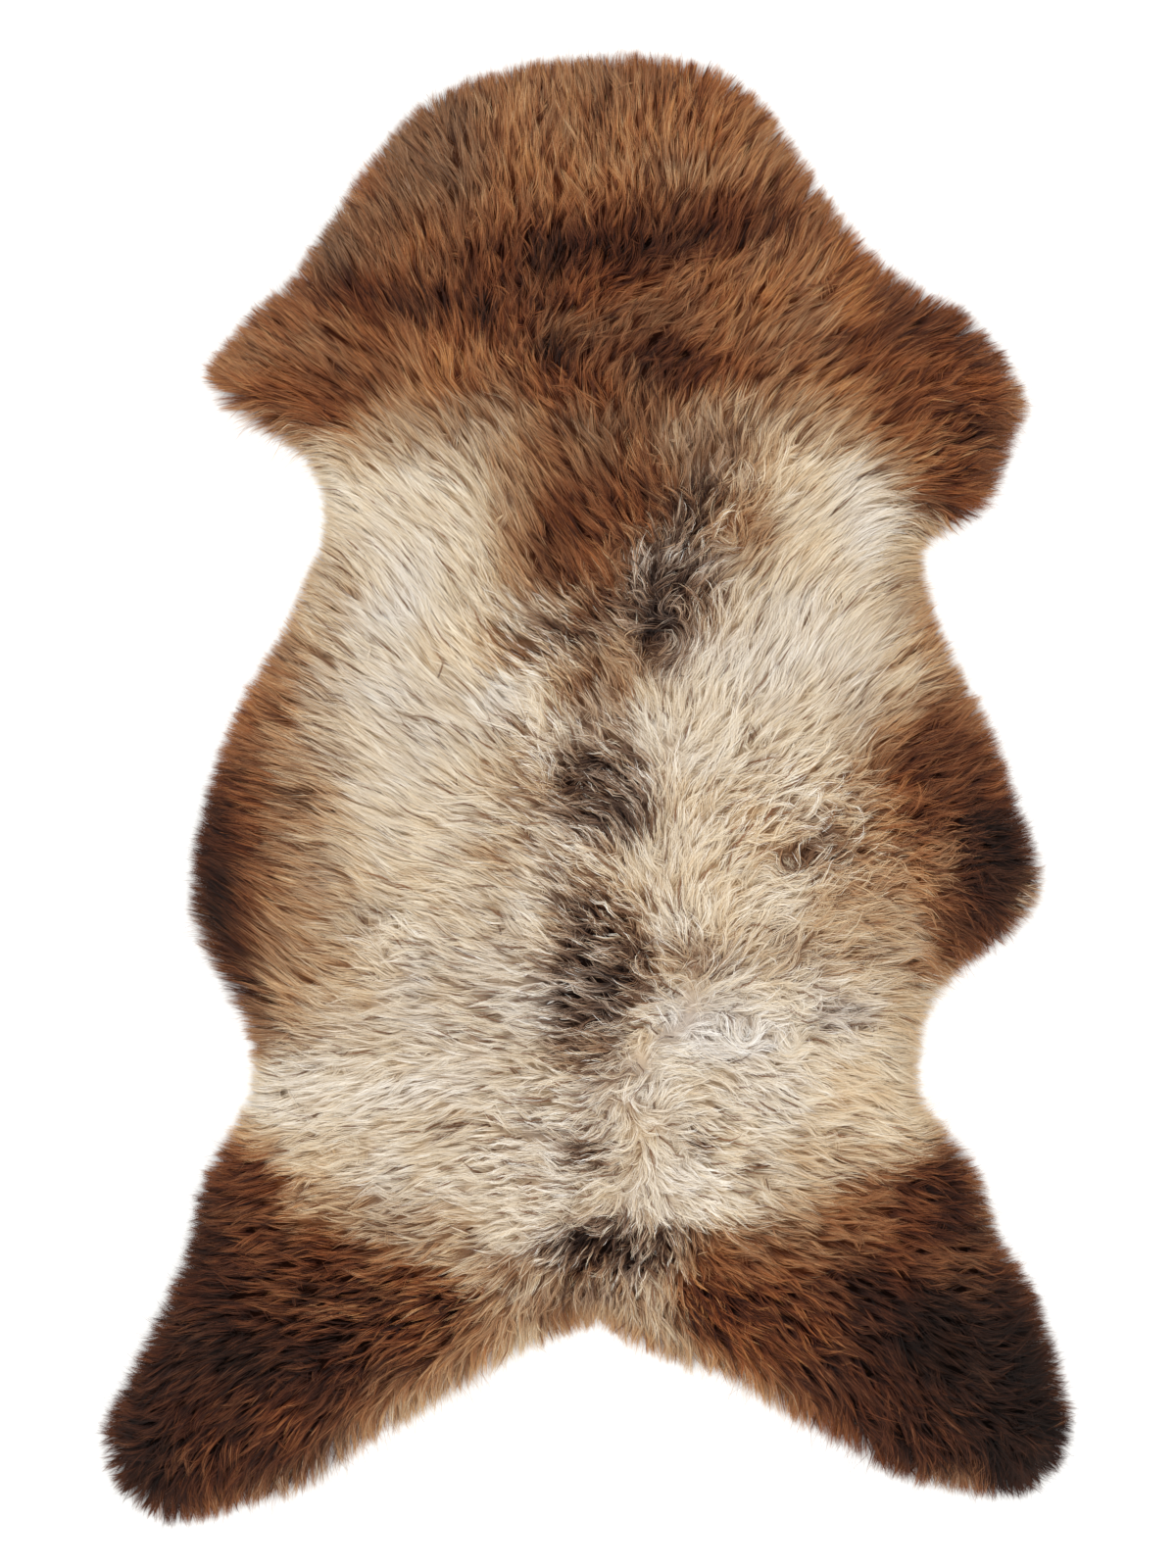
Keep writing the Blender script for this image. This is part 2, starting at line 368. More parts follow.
# Markings, laid one over the other: coat, middle and half sizes in pixels, turn in
# degrees (anticlockwise), most cover, and softness of the edge.
MARKINGS = """
cream 600 800 700 900 0 1.0 0.1

chestnut 610 165 520 262 0 1.0 0.25, tawny 580 130 110 70 0 0.9 0.8, tawny 745 165 90 90 0 0.8 0.9
taupe 440 150 70 60 40 0.8 0.7, taupe 365 240 60 40 50 0.7 0.7, tawny 790 285 90 45 -20 0.6 0.8
dark_chestnut 400 302 90 24 -6 0.8 0.8, dark_chestnut 560 285 110 60 5 0.8 0.8
dark_chestnut 700 232 130 34 8 0.9 0.7, umber 600 255 75 22 0 0.7 0.7, umber 400 300 70 12 -4 0.5 0.8
umber 700 240 60 18 6 0.4 0.8, dark_chestnut 640 375 120 42 0 0.85 0.7, umber 680 372 45 32 0 0.7 0.7, chestnut 560 342 36 20 0 0.6 0.8
taupe 630 325 60 24 10 0.6 0.8, taupe 625 375 32 12 0 0.6 0.7, umber 620 400 90 9 2 0.7 0.6, dark_chestnut 700 412 44 20 0 0.7 0.8
tawny 470 375 60 26 0 0.6 0.8, tawny 800 350 90 34 -5 0.5 0.8, gap 494 314 10 16 0 0.9 0.6
gap 560 352 16 12 20 0.7 0.5, gap 612 112 6 12 -15 0.8 0.5, gap 682 75 5 9 -20 0.7 0.5

chestnut 290 375 110 66 -12 0.9 0.4, dark_chestnut 320 405 70 36 -6 0.6 0.7, umber 235 398 40 6 -25 0.3 0.6, chestnut 250 404 40 14 -22 0.6 0.8
chestnut 872 385 66 50 0 1.0 0.6, dark_chestnut 950 338 80 52 -20 0.9 0.6, dark_chestnut 975 430 85 100 0 0.9 0.5
umber 900 365 60 18 -15 0.4 0.8, umber 1000 430 20 60 0 0.4 0.8, tawny 856 292 50 26 -35 0.8 0.9
russet 955 378 70 24 -12 0.8 0.8, russet 935 482 48 20 8 0.8 0.8
rust 975 455 40 42 0 0.8 0.6, tawny 930 465 34 28 20 0.7 0.8, taupe 955 518 40 14 0 0.9 0.4
dark_chestnut 990 522 26 18 0 0.9 0.6
umber 935 515 14 12 0 0.5 0.6, tawny 860 415 60 34 -30 0.8 0.8

chestnut 605 470 105 90 0 0.95 0.5, chestnut 590 560 80 60 8 0.9 0.6, taupe 580 435 50 16 0 0.5 0.8
dark_chestnut 600 510 60 30 20 0.7 0.8, dark_chestnut 575 565 44 46 0 0.75 0.7, rust 655 480 28 56 0 0.5 0.8
umber 660 430 40 10 0 0.4 0.8
olive 555 645 62 36 15 0.8 0.7, chestnut 616 656 28 56 20 0.5 0.8, badger 600 640 50 26 30 0.5 0.7, taupe 606 700 36 34 0 0.5 0.9
fawn 592 606 28 9 42 0.6 0.8, umber 602 622 30 9 40 0.8 0.6, gap 585 648 22 6 30 0.7 0.6
badger 540 642 40 8 -5 0.7 0.6, gap 528 664 26 4 -8 0.5 0.6

badger 740 520 58 48 0 0.85 0.7, fawn 735 440 62 42 0 0.85 0.9, taupe 732 462 44 34 0 0.55 0.9, gap 712 510 8 20 20 0.7 0.6
gap 758 545 10 14 0 0.7 0.6, tawny 742 548 12 12 0 0.7 0.6, gap 735 505 20 5 -20 0.6 0.6
badger 690 600 54 66 0 0.8 0.6, charcoal 678 620 36 70 0 0.9 0.6, silver 652 568 14 10 0 0.7 0.6
silver 690 562 14 10 0 0.6 0.6, gap 674 588 22 7 10 0.7 0.7, gap 700 540 7 14 0 0.6 0.6
gap 655 616 20 5 10 0.5 0.6, gap 668 652 8 20 20 0.4 0.6, silver 680 690 14 8 0 0.7 0.6
fawn 830 430 60 30 -25 0.6 0.8, gold 810 540 70 80 0 0.8 0.9, fawn 772 530 26 50 0 0.7 0.9, tawny 768 545 20 30 0 0.5 0.9, fawn 748 640 34 30 0 0.6 0.9, pale 895 520 40 60 0 0.6 0.8

fawn 450 425 90 22 0 0.6 0.8, fawn 370 458 90 20 -4 0.7 0.9, fawn 490 612 20 14 0 0.5 0.9, fawn 520 520 26 90 0 0.6 0.8, gold 470 530 34 40 0 0.5 0.8
pale 380 620 60 110 0 0.6 0.8, gold 460 650 40 50 0 0.4 0.8, pale 514 709 44 13 18 0.9 0.7, fawn 574 680 36 10 42 0.7 0.8, umber 588 698 24 9 42 0.6 0.8
fawn 300 650 46 100 -25 0.7 1.1, fawn 275 820 84 190 4 0.8 1.0, fawn 310 970 80 110 0 0.4 1.1
chestnut 240 760 46 110 -18 0.85 1.2, tawny 275 890 46 150 0 0.6 1.2, dark_chestnut 226 872 46 112 0 0.8 1.1, umber 208 868 32 86 0 0.9 0.9
umber 222 945 28 90 12 0.8 0.9, black_brown 212 890 18 80 4 0.5 0.7, taupe 258 1045 20 40 0 0.8 0.6, umber 226 995 18 30 0 0.8 0.8
gap 290 806 40 5 -8 0.6 0.5, gap 300 822 40 4 -8 0.4 0.5, gold 460 860 60 90 0 0.5 0.9
tawny 490 868 26 10 -10 0.5 0.8

fawn 930 600 34 60 0 0.6 1.0, tawny 980 680 30 80 25 0.7 1.1, pale 800 660 90 60 0 0.6 0.9
fawn 950 740 84 76 20 0.7 1.3, chestnut 965 795 86 74 20 0.9 1.3, chestnut 955 860 80 50 0 0.7 1.1, dark_chestnut 988 795 62 74 0 0.85 0.9
umber 935 770 14 16 0 0.8 0.7, umber 1024 862 46 68 -10 1.0 0.7, umber 998 940 56 46 35 0.9 0.7
black_brown 1015 840 30 14 -30 0.7 0.7, black_brown 1040 880 20 60 0 0.4 0.7, chestnut 955 985 30 20 30 0.8 0.6
umber 935 835 16 12 0 0.6 0.7, umber 905 864 34 22 0 0.5 0.9, tawny 900 920 70 40 0 0.5 0.8
olive 805 820 90 46 0 0.4 0.9, olive 860 860 70 34 0 0.6 0.8, badger 830 872 60 18 10 0.6 0.7
gap 800 878 18 5 -20 0.8 0.5, gap 815 870 14 5 30 0.6 0.5, gold 750 870 60 70 0 0.6 0.9
fawn 860 965 100 36 0 0.5 0.8, gap 885 975 30 4 0 0.6 0.5, gap 830 960 24 3 8 0.4 0.5
tawny 925 1020 22 50 0 0.3 0.9

badger 612 745 34 28 0 0.4 0.9, olive 540 790 50 60 0 0.5 0.8, badger 610 812 58 54 0 0.9 0.6
gap 592 775 22 12 0 0.5 0.7, gap 605 808 50 5 -4 0.6 0.6, gap 630 830 30 6 -6 0.5 0.6
gap 530 803 20 3 -35 0.5 0.5, gap 512 885 14 3 -40 0.6 0.5, gap 620 782 10 5 0 0.6 0.5
olive 565 868 64 30 0 0.5 0.8, olive 610 920 56 36 0 0.6 0.8, streaked 520 1000 110 90 0 0.7 0.9
badger 608 975 56 76 10 0.95 0.7, badger 710 970 50 22 -10 0.4 0.8, badger 595 1055 40 40 0 0.65 0.7
gap 622 960 34 5 -12 0.55 0.6, gap 612 992 40 5 0 0.6 0.6, gap 622 1016 26 5 8 0.55 0.6
gap 570 985 22 4 -10 0.4 0.6, gap 590 1042 20 5 0 0.5 0.6, gap 585 1066 24 5 10 0.5 0.6
gap 640 938 20 4 -30 0.4 0.6, gap 600 925 16 4 0 0.4 0.6, gap 730 985 20 4 -10 0.3 0.5

silver 735 1045 76 36 0 0.9 0.6, ash 862 1036 36 18 10 0.8 0.7, gold 905 1060 12 40 -30 0.5 0.8, silver 650 1112 56 36 0 0.5 0.8, ash 622 1096 30 14 0 0.4 0.9
badger 610 1105 20 34 0 0.3 0.8, cream 700 1122 34 34 0 0.7 0.8, pale 320 1115 90 34 0 0.9 0.7, silver 430 1110 50 20 0 0.4 0.8
streaked 560 1170 90 50 0 0.8 0.8, gold 330 1175 56 26 0 0.6 0.8, gold 890 1140 70 50 0 0.9 0.8, honey 858 1176 60 16 0 0.5 0.9
gap 590 1175 20 5 0 0.8 0.5, gap 600 1190 26 3 0 0.5 0.5, gap 715 1166 9 5 0 0.85 0.5
gap 775 1190 16 5 -15 0.85 0.5, gap 722 1172 6 6 -20 0.7 0.5, gap 455 1152 20 4 0 0.6 0.5
gap 590 1162 24 3 0 0.5 0.5, gap 650 1206 12 3 0 0.4 0.5, gap 440 1236 10 3 0 0.4 0.5
pale 720 1215 90 26 0 0.5 0.8, streaked 760 1130 60 30 0 0.4 0.8

fawn 340 1235 90 30 -18 0.9 0.8, fawn 440 1265 60 34 -10 0.7 0.9, chestnut 335 1285 100 28 -14 0.9 0.8
dark_chestnut 225 1240 56 80 -20 1.0 0.7, dark_chestnut 290 1290 90 40 -8 0.9 0.7
rust 390 1358 112 56 15 1.0 0.5, dark_chestnut 250 1400 150 120 30 0.95 0.5, umber 185 1350 56 90 -22 0.8 0.8, umber 192 1250 20 54 -8 0.8 0.8, gold 268 1162 30 16 0 0.5 0.9
umber 280 1380 80 36 10 0.75 0.8, black_brown 230 1370 60 40 20 0.5 0.8, umber 170 1470 90 90 20 0.85 0.6
black_brown 150 1480 40 60 20 0.3 0.8, rust 390 1345 90 34 0 0.8 0.7, tawny 470 1390 60 28 40 0.8 0.7, umber 300 1440 130 60 20 0.35 0.9
tawny 400 1435 60 14 28 0.7 0.7, rust 250 1470 70 40 25 0.5 0.8, umber 290 1505 50 20 15 0.7 0.7, umber 125 1530 56 30 -20 0.8 0.8, umber 260 1430 80 36 15 0.4 0.9
gap 310 1325 50 5 8 0.6 0.5, gap 280 1308 40 3 -5 0.5 0.5, gap 390 1330 50 4 -4 0.4 0.5
gap 370 1365 40 4 4 0.4 0.5, gap 300 1385 60 5 10 0.4 0.5

badger 625 1281 84 36 0 0.95 0.7, gap 615 1272 34 10 0 0.8 0.6, gap 585 1300 20 8 0 0.5 0.6
badger 730 1270 60 18 0 0.5 0.8, fawn 530 1335 46 40 20 0.7 0.7, taupe 575 1340 36 28 0 0.8 0.7
fawn 650 1345 60 34 -15 0.8 0.7, tawny 640 1375 70 14 -18 0.6 0.7, badger 600 1325 40 12 0 0.6 0.7
fawn 694 1345 34 20 -20 0.7 0.8, fawn 566 1316 14 22 0 0.5 0.8, umber 505 1296 24 12 0 0.5 0.9

fawn 850 1230 80 36 20 0.7 0.8, chestnut 900 1238 78 40 20 0.9 0.8, dark_chestnut 956 1236 46 60 10 1.0 0.6
umber 985 1230 30 70 12 0.8 0.7, chestnut 800 1300 110 44 0 0.9 0.7, dark_chestnut 790 1318 90 20 0 0.7 0.8
rust 800 1370 112 56 -25 1.0 0.5, dark_chestnut 900 1420 120 90 -30 0.95 0.5
umber 930 1310 80 46 0 0.8 0.7, umber 960 1400 120 110 -20 0.9 0.6, black_brown 1010 1370 80 110 10 0.85 0.6
black_brown 1040 1450 60 80 0 0.7 0.7, black_brown 930 1360 50 40 0 0.6 0.8, umber 1000 1300 40 40 0 0.5 0.8
rust 830 1380 70 30 -25 0.6 0.8, rust 930 1460 60 30 -20 0.4 0.8, umber 890 1450 90 50 -30 0.35 0.9, umber 918 1498 44 20 -10 0.8 0.8
black_brown 1048 1515 44 30 0 0.8 0.8, umber 945 1440 80 56 0 0.5 0.9, dark_chestnut 862 1345 50 22 -10 0.5 0.8
chestnut 972 1288 56 22 0 0.5 0.9, tawny 770 1410 60 14 -30 0.6 0.7
tawny 850 1460 50 10 -35 0.4 0.7, taupe 1000 1310 20 40 0 0.2 0.8
"""


marking_rows = [row.split() for row in MARKINGS.replace("\n", ",").split(",") if row.strip()]


ragged = 0.12 * soft_noise(grid_x, grid_y, 30 * MM, 5) + 0.08 * soft_noise(grid_x, grid_y, 12 * MM, 6)
coat_maps = np.zeros((6,) + grid_x.shape)
for kind, *numbers in marking_rows:
    pixel_x, pixel_y, half_width, half_height, turn, share, softness = [float(n) for n in numbers]
    middle_x, middle_y = place_of(pixel_x, pixel_y)
    cosine, sine = math.cos(math.radians(turn)), math.sin(math.radians(turn))
    away_x, away_y = (grid_x - middle_x) / PIXEL, (grid_y - middle_y) / PIXEL
    along = (away_x * cosine + away_y * sine) / half_width
    across = (away_y * cosine - away_x * sine) / half_height
    edge = np.clip((1 + softness / 2 - np.hypot(along, across) - ragged) / softness, 0, 1)
    cover = share * edge * edge * (3 - 2 * edge)
    coat_maps += (np.array(COATS[kind])[:, None, None] - coat_maps) * cover

wander = 0.10 * soft_noise(grid_x, grid_y, 30 * MM, 41) + 0.09 * soft_noise(grid_x, grid_y, 13 * MM, 42)
coat_maps[2:4] += wander
coat_maps[1] += 0.02 * soft_noise(grid_x, grid_y, 20 * MM, 43) + 0.02 * soft_noise(grid_x, grid_y, 9 * MM, 44)


def coat_at(x, y):
    """The six values of the coat at places, a row each in the order of the kinds of coat."""
    return [read_map(values, x, y) for values in coat_maps]


def chart_colour(lightness, hue):
    """Linear colours of the chart at some lightnesses and hues."""
    ramps = [np.array([linear(colour) for colour in row]) for row in (RUSSET, FAWN, SILVER)]
    rows = [np.stack([np.interp(lightness, LIGHTNESS, ramp[:, i]) for i in range(4)], -1)
            for ramp in ramps]
    to_fawn = np.clip(hue * 2, 0, 1)[:, None]
    to_silver = np.clip(hue * 2 - 1, 0, 1)[:, None]
    brown = rows[0] + (rows[1] - rows[0]) * to_fawn
    return brown + (rows[2] - brown) * to_silver


# Underwool
# The short dense wool at the pelt. It fills the fleece under the long wool, is shaded and
# dark at the roots, and gives the skin its height.

UNDERWOOL_DEPTH = 7 * MM  # its top is this much below the tips of the wool
UNDERWOOL_CELL = 7 * MM


def underwool_height(x, y):
    """Height of the underwool's top, which falls to the pelt at the pelt's edge."""
    rise = np.clip((read_map(inside_pelt, x, y) + 2 * MM) / (24 * MM), 0, 1)
    full = read_map(heights, x, y) - UNDERWOOL_DEPTH - PELT_THICKNESS
    tufts = 1.2 * MM * soft_noise(x, y, 9 * MM, 8)
    return PELT_THICKNESS + 0.3 * MM + np.maximum(full + tufts, 1 * MM) * np.sqrt(rise)


columns = round((high_x - low_x) / UNDERWOOL_CELL)
rows = round((high_y - low_y) / UNDERWOOL_CELL)
bpy.ops.mesh.primitive_grid_add(x_subdivisions=columns, y_subdivisions=rows, size=1)
underwool = bpy.context.object
underwool.name = underwool.data.name = "underwool"
tuft = bmesh.new()
tuft.from_mesh(underwool.data)
middle_x, middle_y = (low_x + high_x) / 2, (low_y + high_y) / 2
for corner in tuft.verts:
    corner.co.x = middle_x + corner.co.x * columns * UNDERWOOL_CELL
    corner.co.y = middle_y + corner.co.y * rows * UNDERWOOL_CELL
places = np.array([tuple(v.co[:2]) for v in tuft.verts])
edge_distance = read_map(inside_pelt, places[:, 0], places[:, 1])
outside = [v for v, d in zip(tuft.verts, edge_distance) if d < 3.5 * MM]
bmesh.ops.delete(tuft, geom=outside, context="VERTS")
rim_edges = [e for e in tuft.edges if e.is_boundary]
for corner in {v for e in rim_edges for v in e.verts}:
    spot = np.array(corner.co[:2])
    slope = np.array([read_map(rise_x, *spot), read_map(rise_y, *spot)])
    spot -= slope / np.linalg.norm(slope) * (read_map(inside_pelt, *spot) + 1.5 * MM)
    corner.co.x, corner.co.y = spot
places = np.array([tuple(v.co[:2]) for v in tuft.verts])
for corner, height in zip(tuft.verts, underwool_height(places[:, 0], places[:, 1])):
    corner.co.z = height
drawn = bmesh.ops.extrude_edge_only(tuft, edges=rim_edges)["geom"]
for corner in (item for item in drawn if isinstance(item, bmesh.types.BMVert)):
    corner.co.z = PELT_THICKNESS + 0.1 * MM
bmesh.ops.holes_fill(tuft, edges=[e for e in tuft.edges if e.is_boundary], sides=0)
bmesh.ops.recalc_face_normals(tuft, faces=tuft.faces)
tuft.to_mesh(underwool.data)
tuft.free()
underwool.location = (0, 0, 0)
underwool.data.shade_smooth()

spots = np.array([tuple(v.co[:2]) for v in underwool.data.vertices])
under_coat = coat_at(spots[:, 0], spots[:, 1])
under_colours = chart_colour(under_coat[0], under_coat[2])
coat = underwool.data.color_attributes.new("Coat", "FLOAT_COLOR", "POINT")
coat.data.foreach_set("color", under_colours.ravel())

felted = bpy.data.materials.new("felted_underwool")
felted.use_nodes = True
tree = felted.node_tree
shader = tree.nodes["Principled BSDF"]
shader.inputs["Roughness"].default_value = 0.95
shader.inputs["Specular IOR Level"].default_value = 0.05
own_colour = add_node(tree, "ShaderNodeAttribute", settings={"attribute_name": "Coat"})
tree.links.new(own_colour.outputs["Color"], shader.inputs["Base Color"])
spot = add_node(tree, "ShaderNodeTexCoord")
fluff = add_node(tree, "ShaderNodeTexNoise", inputs={"Scale": 1 / (3 * MM), "Detail": 3.0},
                 links={"Vector": spot.outputs["Object"]})
bump = add_node(tree, "ShaderNodeBump", inputs={"Strength": 0.8, "Distance": 1 * MM},
                links={"Height": fluff.outputs["Fac"]})
tree.links.new(bump.outputs["Normal"], shader.inputs["Normal"])
underwool.data.materials.append(felted)
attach(underwool, "root")
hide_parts("lambskin")

# Long wool
# The outer wool grows in locks about 9 mm apart, each of a few slender staples that draw
# together towards its tip. A staple is six drawn strands for the hundreds in a real one.

LOCK_PITCH = 9.2 * MM
STAPLES = 4  # in a lock
SMOOTH_STRANDS, WAVY_STRANDS = 10, 8  # in a staple
STAPLE_WIDTH = 4.2 * MM
STAPLE_LENGTH = 29 * MM
SMOOTH_WIDTH, WAVY_WIDTH = 0.34 * MM, 0.32 * MM  # of a strand
ROOT_DEPTH = 9 * MM
RISEN = 0.5  # share of its length at which a strand has come up to the top
FLANK_DEPTH = 0.6 * MM  # a staple's sides lie this much lower than its back
FLANK_SHADE = 0.25  # and are this much of the way back to the root's colour
GUIDE_STEPS = 12
SMOOTH = (2, 7, 12)  # steps of the guide at which a strand has its corners
WAVY = (2, 5, 8, 10, 12)
HANGING = (0, 6, 12)
CRIMP_LENGTH = 12 * MM  # of one wave
CRIMP_PATCH = 34 * MM

# How far the tips hang out beyond the frame's rim: pixel x, pixel y, mm.
OVERHANG = """
1010 1510 12, 1070 1445 13, 1045 1345 13, 996 1251 10, 979 1201 12, 920 1116 12, 935 1014 12,
1011 943 14, 1041 902 12, 1011 803 13, 967 708 14, 927 610 12, 959 526 12, 1012 443 15,
989 352 14, 948 319 13, 900 297 16, 859 263 18, 824 224 21, 798 179 18, 771 133 14,
684 80 16, 579 77 14, 476 97 12, 395 162 12, 332 246 9, 231 367 11, 238 407 12, 322 468 9,
339 517 9, 313 618 11, 238 758 11, 208 859 10, 221 962 15, 266 1056 14, 266 1108 10,
216 1200 8, 186 1301 7, 141 1396 7, 126 1497 16, 165 1531 17, 216 1525 14, 314 1489 17,
402 1430 17, 494 1379 14, 586 1328 19, 680 1365 18, 775 1409 14, 869 1458 16, 914 1484 18,
963 1503 12
"""
OVERHANG_REACH = 20 * MM

# Zones where the wool isn't combed flat: pixel x, pixel y, reach in pixels, tousle and curl
# in degrees, wave in mm, length over the usual, and how much a lock's staples draw together.
ZONES = [
    (600, 200, 300, 7, 16, 0.4, 0.85, 0.2),
    (600, 300, 130, 18, 24, 0.7, 0.7, 0.4),
    (650, 370, 100, 22, 30, 0.8, 0.65, 0.4),
    (970, 440, 80, 14, 24, 0.7, 0.8, 0.3),
    (560, 660, 110, 8, 16, 1.0, 0.9, 0.25),
    (690, 640, 60, 26, 75, 1.1, 0.8, 0.3),
    (675, 575, 40, 18, 70, 0.9, 0.8, 0.5),
    (740, 520, 50, 24, 60, 1.0, 0.75, 0.3),
    (600, 790, 70, 24, 50, 1.0, 0.7, 0.35),
    (740, 830, 100, 14, 30, 1.0, 0.85, 0.25),
    (830, 870, 90, 24, 60, 1.0, 0.85, 0.28),
    (620, 960, 110, 16, 26, 1.0, 0.8, 0.3),
    (420, 970, 50, 24, 60, 1.0, 0.8, 0.3),
    (760, 1040, 100, 22, 80, 1.1, 0.95, 0.3),
    (650, 1115, 60, 16, 70, 1.0, 0.9, 0.3),
    (950, 880, 90, 20, 40, 0.9, 0.85, 0.28),
    (450, 1180, 150, 10, 18, 0.8, 0.75, 0.5),
    (640, 1210, 140, 14, 24, 1.0, 0.75, 0.5),
    (640, 1290, 90, 22, 50, 1.0, 0.7, 0.35),
    (350, 1350, 200, 12, 24, 0.7, 0.72, 0.6),
    (180, 1470, 110, 16, 24, 0.7, 0.7, 0.35),
    (860, 1350, 180, 14, 24, 0.7, 0.75, 0.55),
    (1010, 1430, 110, 18, 24, 0.7, 0.75, 0.5),
]


overhang_rows = [[float(n) for n in row.split()] for row in OVERHANG.split(",")]
overhang_sum, overhang_weight = np.zeros(grid_x.shape), np.zeros(grid_x.shape)
for pixel_x, pixel_y, millimetres in overhang_rows:
    middle_x, middle_y = place_of(pixel_x, pixel_y)
    distance = np.hypot(grid_x - middle_x, grid_y - middle_y) / OVERHANG_REACH
    weight = np.exp(-distance ** 2 / 2) + 1e-4 / (1 + distance ** 4)
    overhang_sum += weight * millimetres * MM
    overhang_weight += weight
overhangs = overhang_sum / overhang_weight


def zone_values(x, y):
    """Tousle and curl in radians, wave in metres, share of the length, and drawing together."""
    values = [np.full(x.shape, usual) for usual in (6.0, 16.0, 0.5, 1.0, 0.25)]
    for pixel_x, pixel_y, reach, *own in ZONES:
        middle_x, middle_y = place_of(pixel_x, pixel_y)
        near = np.exp(-(np.hypot(x - middle_x, y - middle_y) / (reach * PIXEL)) ** 2)
        for value, zone_value in zip(values, own):
            value += (zone_value - value) * near
    tousle, curl, wave, length, draw = values
    return np.radians(tousle), np.radians(curl), wave * MM, length, draw


def staggered_places(pitch, shift, chance):
    """Jittered places in staggered rows over the whole map."""
    row_pitch = pitch * math.sqrt(3) / 2
    ys = np.arange(low_y, high_y, row_pitch)
    xs = np.arange(low_x, high_x, pitch)
    x, y = np.meshgrid(xs, ys)
    x[1::2] += pitch / 2
    x = x + chance.uniform(-shift, shift, x.shape) * pitch
    y = y + chance.uniform(-shift, shift, y.shape) * pitch
    return x.ravel(), y.ravel()


def crimp_phase(x, y):
    """Where places are in the waves of the crimp, which neighbouring hairs share in patches."""
    shifted_x = x + 9 * MM * soft_noise(x, y, 26 * MM, 31)
    shifted_y = y + 9 * MM * soft_noise(x, y, 26 * MM, 32)
    middle_x = (np.floor(shifted_x / CRIMP_PATCH) + 0.5) * CRIMP_PATCH
    middle_y = (np.floor(shifted_y / CRIMP_PATCH) + 0.5) * CRIMP_PATCH
    along_x, along_y = heading_at(middle_x, middle_y)
    along = (x - middle_x) * along_x + (y - middle_y) * along_y
    return 2 * math.pi * along / (CRIMP_LENGTH * (1 + 0.25 * soft_noise(middle_x, middle_y, 50 * MM, 33)))


def staple_guides(staples):
    """Points along the middle of each staple, as it follows the wool's lie, and its headings."""
    count = len(staples["x"])
    points = np.zeros((count, GUIDE_STEPS + 1, 2))
    ways = np.zeros((count, GUIDE_STEPS + 1, 2))
    points[:, 0, 0], points[:, 0, 1] = staples["x"], staples["y"]
    for i in range(GUIDE_STEPS + 1):
        turn = staples["turn"] + staples["bend"] * (i / GUIDE_STEPS - 0.5)
        along_x, along_y = heading_at(points[:, i, 0], points[:, i, 1])
        ways[:, i, 0] = along_x * np.cos(turn) - along_y * np.sin(turn)
        ways[:, i, 1] = along_x * np.sin(turn) + along_y * np.cos(turn)
        if i < GUIDE_STEPS:
            points[:, i + 1] = points[:, i] + ways[:, i] * staples["length"][:, None] / GUIDE_STEPS
    return points, ways


def staple_table(x, y, aside, lock, chance):
    """All that is drawn by chance for staples that root at some places.

    aside is each root's place across its lock, and lock the lock's own numbers.
    """
    count = len(x)
    tousle, curl, wave, share, draw = zone_values(x, y)
    drift = 0.14 * soft_noise(x, y, 45 * MM, 11) + 0.12 * soft_noise(x, y, 18 * MM, 12)
    near_edge = np.exp(-np.maximum(read_map(inside_pelt, x, y), 0) / (12 * MM))
    length = STAPLE_LENGTH * (share + (1.6 - share) * near_edge) * lock["length"]
    staples = {
        "x": x, "y": y,
        "turn": drift + lock["turn"] * tousle + chance.normal(0, 0.6, count) * tousle,
        "bend": curl * (lock["bend"] + 0.5 * chance.normal(0, 1, count)),
        "length": length * chance.uniform(0.85, 1.15, count),
    }
    guide, _ = staple_guides(staples)
    overhang = lock["reach"] + chance.normal(0, 0.6 * MM, count)
    beyond = -read_map(inside_rim, guide[..., 0], guide[..., 1])
    beyond -= read_map(overhangs, guide[..., 0], guide[..., 1]) + overhang[:, None]
    cut = np.clip(np.where(beyond > 0, np.arange(GUIDE_STEPS + 1), 99).min(1), 2, GUIDE_STEPS + 1)
    before = np.take_along_axis(beyond, np.minimum(cut - 1, GUIDE_STEPS)[:, None], 1)[:, 0]
    after = np.take_along_axis(beyond, np.minimum(cut, GUIDE_STEPS)[:, None], 1)[:, 0]
    part = np.clip(before / (before - after - 1e-9), 0, 1)
    staples["length"] *= np.minimum((cut - 1 + part) / GUIDE_STEPS, 1)
    guide, _ = staple_guides(staples)
    shown_x = guide[:, 9, 0] + chance.normal(0, 2 * MM, count)
    shown_y = guide[:, 9, 1] + chance.normal(0, 2 * MM, count)
    dark = chance.uniform(0, 1, count) < coat_at(shown_x, shown_y)[5]
    staples.update({
        "shown_x": shown_x, "shown_y": shown_y, "dark": dark.astype(float),
        "gather": aside * draw,
        "width": STAPLE_WIDTH * np.where(dark, 0.28, chance.uniform(0.85, 1.2, count)),
        "closing": np.clip(draw * chance.uniform(0.7, 1.9, count), 0, 0.92),
        "stagger": np.clip(0.85 - 0.8 * draw, 0.2, 0.8),
        "wave": wave * chance.uniform(0.5, 1.4, count),
        "phase": lock["phase"] + chance.normal(0, 0.3, count),
        "lift": (lock["lift"] + chance.normal(0, 0.5 * MM, count)) * (0.5 + tousle / 0.3),
        "reach_down": np.full(count, ROOT_DEPTH),
        "level": np.ones(count),
        "tone": 0.6 * lock["tone"] + 0.6 * chance.normal(0, 1, count),
    })
    return staples


